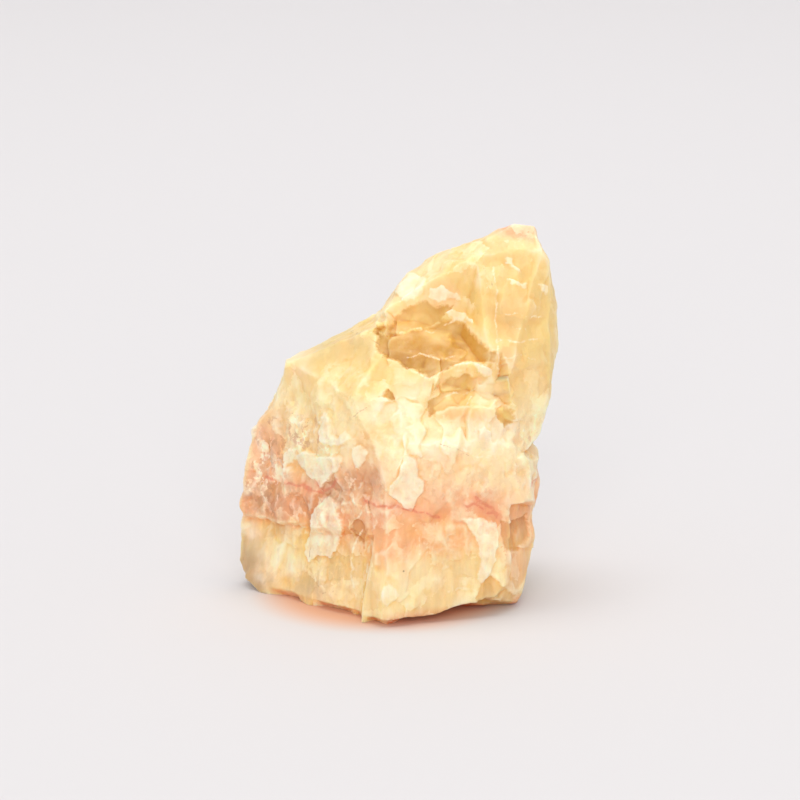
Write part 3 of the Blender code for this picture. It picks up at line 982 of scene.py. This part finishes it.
# The rim beside the splinters is thin, and light comes through it, so it gets less painted shade.
THIN_RIM, THIN_SHARE = ((17.6, 1.4), (3.4, 3.4)), 0.7


def with_painted_light_and_shade(tint, share):
    """tint * painted shade tint ^ depth, then towards the bruise and highlight colour by share."""
    deepened = tint * PAINTED_SHADE_TINT ** painted_shade_mm[:, None]
    return deepened + (BRUISE_AND_HIGHLIGHT - deepened) * share[:, None]


# Edges: partly real bruising, partly a painted highlight.
struck_and_lit = sum(strength * np.clip(out / full, 0, 1) for out, full, strength in EDGE_BRUISES_AND_HIGHLIGHTS)
bruise_and_highlight = patches(points, *BRUISE_AND_HIGHLIGHT_PATCH) * struck_and_lit * (0.8 + 0.4 * rough)
# Hollows: painted shade.
painted_shade_mm = sum(np.clip(-out / full, 0, 2) for out, full in PAINTED_SHADE_HOLLOWS)
painted_shade_mm *= 1 - THIN_SHARE * oval_share(*THIN_RIM)
skin_tint = with_painted_light_and_shade(skin_tint, bruise_and_highlight)
fresh_tint = with_painted_light_and_shade(fresh_tint, FRESH_BRUISE_AND_HIGHLIGHT * bruise_and_highlight)
# Painted glow and shadow: deep orange low in the gap under the lower front and in the foot chips.
in_gap = np.clip((points[:, 0] - GAP_LEFT) / GAP_FADE, 0, 1)
in_gap *= np.clip(-points[:, 1] / GAP_FRONT, 0, 1)
low_down = np.clip(GAP_PAINTED_GLOW - points[:, 2] / GAP_HEIGHT, 0, 1)
painted_glow = np.maximum(low_down * in_gap, CHIP_PAINTED_GLOW * chipped)
skin_tint = laid_over(skin_tint, PAINTED_GLOW, painted_glow)
# Share of the skin with more than a fifth of bruise and painted highlight.
print("bruised by more than a fifth: %.0f%% of the skin" % (100 * np.mean(bruise_and_highlight > 0.2)))

# %% [markdown]
# ## The mesh
# The grid becomes triangles: two for each square, and a fan at each pole, so the skin is closed.
# Every number that the finish needs is stored on the points. Decimate then thins flat ground and
# keeps edges, and it blends the stored numbers as it goes.

# %% Thinned mesh
KEPT_TRIANGLES = 194000
SHARP_ANGLE = 38


def grid_triangles(rows, columns):
    """Triangles (a, b, d) and (a, d, c) of each square, and a fan at each pole, the last points."""
    rung = np.arange(rows * columns).reshape(rows, columns)
    beside = np.roll(rung, -1, axis=1)
    a, b, c, d = (part.ravel() for part in (rung[:-1], beside[:-1], rung[1:], beside[1:]))
    foot, top = np.full(columns, rows * columns), np.full(columns, rows * columns + 1)
    triangles = [(a, b, d), (a, d, c), (foot, beside[0], rung[0]), (rung[-1], beside[-1], top)]
    return np.concatenate([np.stack(part, axis=1) for part in triangles])


def placed(name, data):
    """A new object with the data, linked to the scene."""
    made = bpy.data.objects.new(name, data)
    bpy.context.collection.objects.link(made)
    return made


triangles = grid_triangles(len(rises), AROUND)
dense = bpy.data.meshes.new("dense_skin")
dense.from_pydata(fit(points) * MM, [], triangles)
NUMBERS = {
    "milk": milk, "flake": flake, "window": window, "seam": np.clip(seam, 0, REACH),
    "crack": crack, "painted_highlight": painted_highlight, "rough": rough, "columns": columns,
}
TINTS = {"skin_tint": skin_tint, "fresh_tint": fresh_tint}
for name, values in NUMBERS.items():
    stored = dense.attributes.new(name, "FLOAT", "POINT")
    stored.data.foreach_set("value", values.astype(np.float32))
for name, tint in TINTS.items():
    colours = np.hstack([tint, np.ones((len(tint), 1))]).astype(np.float32)
    stored = dense.attributes.new(name, "FLOAT_COLOR", "POINT")
    stored.data.foreach_set("color", colours.ravel())

lump = placed("dense_lump", dense)
thin = lump.modifiers.new("thin", "DECIMATE")
thin.ratio = KEPT_TRIANGLES / len(triangles)
thinned = lump.evaluated_get(bpy.context.evaluated_depsgraph_get())
skin = bpy.data.meshes.new_from_object(thinned)
bpy.data.objects.remove(lump)
bpy.data.meshes.remove(dense)
skin.name = "calcite_skin"
skin.polygons.foreach_set("use_smooth", np.ones(len(skin.polygons), bool))
skin.set_sharp_from_angle(angle=math.radians(SHARP_ANGLE))
stone = placed("calcite_lump", skin)
print("triangles:", len(triangles), "thinned to", len(skin.polygons))

# %% [markdown]
# ## Riding on the frame
# The skin takes the place of the plain solid, which stays for the physics. It moves with the
# stone's only body.

# %% Place in the frame
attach(stone, "root")
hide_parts("orange_calcite")
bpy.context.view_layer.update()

# %% [markdown]
# ## Adding nodes
# A material is a net of nodes. One helper adds any kind of node, sets its choices, and fills its
# inputs with either a value or a link, so that the finish below reads as a list of steps.

# %% One helper for every node
def adder(tree):
    """A function that adds a node to the tree and gives back one of its outputs."""

    def add(kind, inputs, out=0, **settings):
        made = tree.nodes.new("ShaderNode" + kind)
        for name, value in settings.items():
            setattr(made, name, value)
        for name, value in inputs.items():
            if isinstance(value, bpy.types.NodeSocket):
                tree.links.new(value, made.inputs[name])
            else:
                made.inputs[name].default_value = value
        return made.outputs[out] if made.outputs else made

    return add


def new_finish(name):
    """An empty material, and the helper that adds nodes to it."""
    made = bpy.data.materials.new(name)
    made.use_nodes = True
    made.node_tree.nodes.clear()
    return made, adder(made.node_tree)


calcite, add = new_finish("orange calcite, freshly broken")
print("new finish:", calcite.name)

# %% [markdown]
# ## Noise for the finish
# All patterns are read in millimetres from the object's own coordinates, so their sizes are real.
# Clouds are the size of a fingertip and mottle the size of a rice grain. Fray tears the edges of
# the markings, and streaks run upright, like the columns. Three sizes of torn cells stand for
# cleavage facets. Calcite's own grain is far finer than a pixel, so it is drawn 0.2 mm wide here.

# %% Noises
place = add("VectorMath", {0: add("TexCoord", {}, "Object"), "Scale": 1 / MM}, operation="SCALE")
upright = add("VectorMath", {0: place, 1: (1.0, 1.0, 0.1)}, operation="MULTIPLY")
NOISES = [(place, 8, 4), (place, 2.2, 5), (place, 0.7, 4), (place, 0.2, 2), (upright, 1.3, 4)]
clouds, mottle, fray, grain, streaks = (
    add("TexNoise", {"Vector": at, "Scale": 1 / size, "Detail": detail, "Roughness": 0.55}, "Fac")
    for at, size, detail in NOISES
)
tearing = {"Vector": place, "Scale": 1 / 1.6, "Detail": 4, "Roughness": 0.6}
wobble = add("TexNoise", tearing, "Color")
torn_place = add("VectorMath", {0: wobble, 1: (3.0, 3.0, 3.6), 2: place}, operation="MULTIPLY_ADD")
tall_place = add("VectorMath", {0: torn_place, 1: (1.0, 1.0, 0.6)}, operation="MULTIPLY")
FACETS = [(torn_place, 4.6), (tall_place, 1.8), (tall_place, 0.9)]
scales_wide, scales_small, scales_fine = (
    add("TexVoronoi", {"Vector": at, "Scale": 1 / size}, "Color") for at, size in FACETS
)
print("nodes so far:", len(calcite.node_tree.nodes))

# %% [markdown]
# ## Colour, layer by layer
# The stored tint, which already holds the painted shade, glow and edge highlight, comes first. Each
# layer is laid over it where its number passes a threshold: milk, bright and rusty facets, the
# windows, the pale flakes, rust along the seams, painted highlights and cracks. Then mottle,
# streaks and facets make it lighter and darker, and the dark speck comes last.

# %% Layers of colour
def rgba(hex_colour):
    """A linear colour with full alpha, as sockets take it."""
    return (*linear(hex_colour), 1.0)


skin_colour, fresh_colour = (
    add("Attribute", {}, "Color", attribute_name=name) for name in TINTS
)
MOTTLE_RANGE = {1: 0.35, 2: 0.6}
# What is laid over: the stored number, its colour, the noise that frays it, how far in mm, where
# its edge starts and ends in mm, and its strength where it is thin and where it is thick.
LAYERS = [
    ("milk", rgba("#FFEAC4"), scales_wide, 0.8, 0.4, 0.7, 0.05, 0.5),
    ("rough", rgba("#FFEED4"), scales_small, 4.0, 2.75, 3.0, 0.15, 0.6),
    ("rough", rgba("#D58E60"), scales_fine, -4.0, 3.0, 3.2, 0.1, 0.5),
    ("window", fresh_colour, fray, 1.4, -0.3, 0.4, 0.75, 0.95),
    ("flake", rgba("#FFEACA"), fray, 1.2, -0.15, 0.25, 0.4, 0.9),
    ("seam", rgba("#D8613A"), mottle, 0.9, 0.4, 0.05, 0.3, 0.8),
    ("seam", rgba("#F09C78"), clouds, 2.4, 1.6, -0.4, 0.15, 0.5),
    # painted highlights along ridges, lips and edges
    ("painted_highlight", rgba("#FFF1D4"), fray, 0.7, 0.3, 0.0, 0.1, 0.75),
    ("crack", rgba("#A06A3C"), fray, 0.2, 0.2, 0.0, 0.15, 0.7),
]
colour = skin_colour
for stored, shade, pattern, frayed, start_mm, end_mm, thin_share, thick_share in LAYERS:
    number = add("Attribute", {}, "Fac", attribute_name=stored)
    torn = add("Math", {0: pattern, 1: frayed, 2: number}, operation="MULTIPLY_ADD")
    shift = frayed / 2
    by_mottle = {"Value": mottle, **MOTTLE_RANGE, 3: thin_share, 4: thick_share}
    edge = {"Value": torn, 1: start_mm + shift, 2: end_mm + shift, 4: add("MapRange", by_mottle)}
    share = add("MapRange", edge, interpolation_type="SMOOTHSTEP")
    colour = add("Mix", {0: share, 6: colour, 7: shade}, 2, data_type="RGBA")
print("layers:", len(LAYERS))

# %% Lighter and darker, and the speck
SHADE_FROM, SPECK_SHARE = 0.5, 0.9

rough_here, columns_here = (
    add("Attribute", {}, "Fac", attribute_name=name) for name in ("rough", "columns")
)
SHADES = [
    (mottle, 0.12, rough_here), (streaks, 0.35, columns_here), (scales_wide, 0.1, 1.0),
    (scales_small, 0.14, rough_here), (scales_fine, 0.1, rough_here),
]
for pattern, gain, strength in SHADES:
    centred = add("Math", {0: pattern, 1: SHADE_FROM}, operation="SUBTRACT")
    gained = add("Math", {0: centred, 1: gain}, operation="MULTIPLY")
    shade = add("Math", {0: gained, 1: strength, 2: 1.0}, operation="MULTIPLY_ADD")
    whole = {0: 1.0, 6: colour, 7: shade}
    colour = add("Mix", whole, 2, data_type="RGBA", blend_type="MULTIPLY")
from_grit = {0: place, 1: tuple(points[speck_index])}
away = add("VectorMath", from_grit, "Value", operation="DISTANCE")
grit_edge = {"Value": away, 1: SPECK_RADIUS, 2: SPECK_RADIUS / 2, 3: 0.0, 4: SPECK_SHARE}
share = add("MapRange", grit_edge)
colour = add("Mix", {0: share, 6: colour, 7: rgba("#3B2B20")}, 2, data_type="RGBA")
print("shades:", len(SHADES))

# %% [markdown]
# ## Light inside the stone
# Calcite lets light in, scatters it and lets it out again, warmer. Subsurface scattering does
# that: red light travels furthest and blue the least. The break itself is a soft gloss, duller
# where the mottle says so. Its index of refraction is near 1.6.

# %% Body of the stone
SCATTER_MM = 3.5
GLOW = (1.0, 0.8, 0.58)

roughness = add("MapRange", {"Value": mottle, 1: 0.3, 2: 0.7, 3: 0.28, 4: 0.55})
BUMPS = [(mottle, 2.0), (scales_small, 1.5), (scales_wide, 2.0), (streaks, 3.0)]
height = grain
for pattern, gain in BUMPS:
    height = add("Math", {0: pattern, 1: gain, 2: height}, operation="MULTIPLY_ADD")
bumps = add("Bump", {"Height": height, "Strength": 0.7, "Distance": 0.1 * MM})
stone_inputs = {
    "Base Color": colour, "Roughness": roughness, "IOR": 1.6, "Normal": bumps,
    "Subsurface Weight": 0.9, "Subsurface Radius": GLOW, "Subsurface Scale": SCATTER_MM * MM,
}
stone_shader = add("BsdfPrincipled", stone_inputs, subsurface_method="RANDOM_WALK")
add("OutputMaterial", {"Surface": stone_shader})
skin.materials.clear()
skin.materials.append(calcite)
print("finish nodes:", len(calcite.node_tree.nodes))

# %% [markdown]
# ## Paper sweep
# The stone stands on a roll of white paper that runs back and curves up, so there is no horizon.
# The sweep is a function of two parameters: how far across, and how far along the paper.

# %% Floor and backdrop
SWEEP_WIDTH = 4.0
FLOOR_FRONT = -1.6
BEND_START = 1.0
BEND_RADIUS = 0.7
WALL_TOP = 2.6


def sweep(across, along):
    """Flat to the bend, then a quarter circle of the bend's radius, then straight up."""
    angle = np.clip((along - BEND_START) / BEND_RADIUS, 0, np.pi / 2)
    rest = np.maximum(along - BEND_START - BEND_RADIUS * np.pi / 2, 0)
    back = np.minimum(along, BEND_START) + BEND_RADIUS * np.sin(angle)
    return np.stack([across, back, BEND_RADIUS * (1 - np.cos(angle)) + rest], axis=-1)


curve = np.linspace(BEND_START, BEND_START + BEND_RADIUS * np.pi / 2, 33)
alongs = np.concatenate([[FLOOR_FRONT], curve, [curve[-1] + WALL_TOP - BEND_RADIUS]])
acrosses = np.array([-SWEEP_WIDTH / 2, SWEEP_WIDTH / 2])
sheet_points = sweep(*np.meshgrid(acrosses, alongs)).reshape(-1, 3)
row = 2 * np.arange(len(alongs) - 1)
paper_mesh = bpy.data.meshes.new("paper_sweep")
paper_mesh.from_pydata(sheet_points, [], np.stack([row, row + 1, row + 3, row + 2], axis=1))
paper_mesh.polygons.foreach_set("use_smooth", np.ones(len(paper_mesh.polygons), bool))
paper_sweep = placed("paper_sweep", paper_mesh)
print("paper sweep:", len(paper_mesh.polygons), "faces")

# %% [markdown]
# ## Paper
# Uncoated paper is matt all over. Light that has come through the stone warms it at the foot. The
# renderer doesn't carry that light to the paper, so a soft oval of warm colour stands for it.

# %% Matte paper, warmed at the foot
# from and to, in half widths of the foot
WARM_FROM, WARM_TO, WARM_SHARE = 0.72, 1.2, 0.65
WARM_STRETCH = np.array([0.9, 1.1])

paper, add = new_finish("matte white paper")
foot = points[points[:, 2] < 1, :2] * MM
foot_middle = (foot.max(axis=0) + foot.min(axis=0)) / 2
per_half = 1 / (np.ptp(foot, axis=0) / 2 * WARM_STRETCH)
floor_place = {0: add("TexCoord", {}, "Object"), 1: (*foot_middle, 0)}
from_middle = add("VectorMath", floor_place, operation="SUBTRACT")
in_halves = add("VectorMath", {0: from_middle, 1: (*per_half, 0)}, operation="MULTIPLY")
halves_away = add("VectorMath", {0: in_halves}, "Value", operation="LENGTH")
warmed = {"Value": halves_away, 1: WARM_FROM, 2: WARM_TO, 3: WARM_SHARE, 4: 0.0}
warmth = add("MapRange", warmed, interpolation_type="SMOOTHSTEP")
paper_colour = add("Mix", {0: warmth, 6: rgba("#D4D1D1"), 7: rgba("#E79A56")}, 2, data_type="RGBA")
matt = {"Base Color": paper_colour, "Roughness": 0.9, "Specular IOR Level": 0.2}
add("OutputMaterial", {"Surface": add("BsdfPrincipled", matt)})
paper_mesh.materials.append(paper)
print("paper nodes:", len(paper.node_tree.nodes))

# %% [markdown]
# ## Light
# The stone is shown pale, with soft shadows. A weak soft box hangs over it, a strong one stands
# in front and higher, and a third lights the paper behind, so that the background stays white.
# The white room fills in the rest.

# %% Soft boxes and room
# name, side in m, power in W, place, and what it looks at
SOFT_BOXES = [
    ("overhead_box", 1.1, 1.0, (0.1, -0.3, 1.25), (0, 0, 0.03)),
    ("front_box", 0.8, 7.6, (0.0, -1.3, 0.62), (0, 0, 0.04)),
    ("backdrop_box", 1.4, 25.5, (0, 0.2, 2.0), (0, 1.6, 0.6)),
]
for name, size, power, spot, aim in SOFT_BOXES:
    light = bpy.data.lights.new(name, "AREA")
    light.size = size
    light.energy = power
    holder = placed(name, light)
    holder.location = spot
    down = mathutils.Vector(aim) - mathutils.Vector(spot)
    holder.rotation_euler = down.to_track_quat("-Z", "Y").to_euler()

world = bpy.data.worlds.new("white room")
world.use_nodes = True
room = world.node_tree.nodes["Background"].inputs
room["Color"].default_value = rgba("#F4F5F7")
room["Strength"].default_value = 0.77
bpy.context.scene.world = world
bpy.context.scene.view_settings.view_transform = "Standard"
print("lights:", [light.name for light in bpy.data.lights])

# %% [markdown]
# ## Camera
# A long lens from well back keeps the upright edges upright. The camera looks down a little, so
# that the crest and the foot both show.

# %% Camera
camera_data = bpy.data.cameras.new("camera")
camera_data.lens = 135.0
camera = placed("camera", camera_data)
back = mathutils.Vector(axes(0)[2])
camera.location = mathutils.Vector(MIDDLE * MM) + back * DISTANCE * MM
camera.rotation_euler = back.to_track_quat("Z", "Y").to_euler()
bpy.context.scene.camera = camera
print("camera at", [round(value, 3) for value in camera.location])
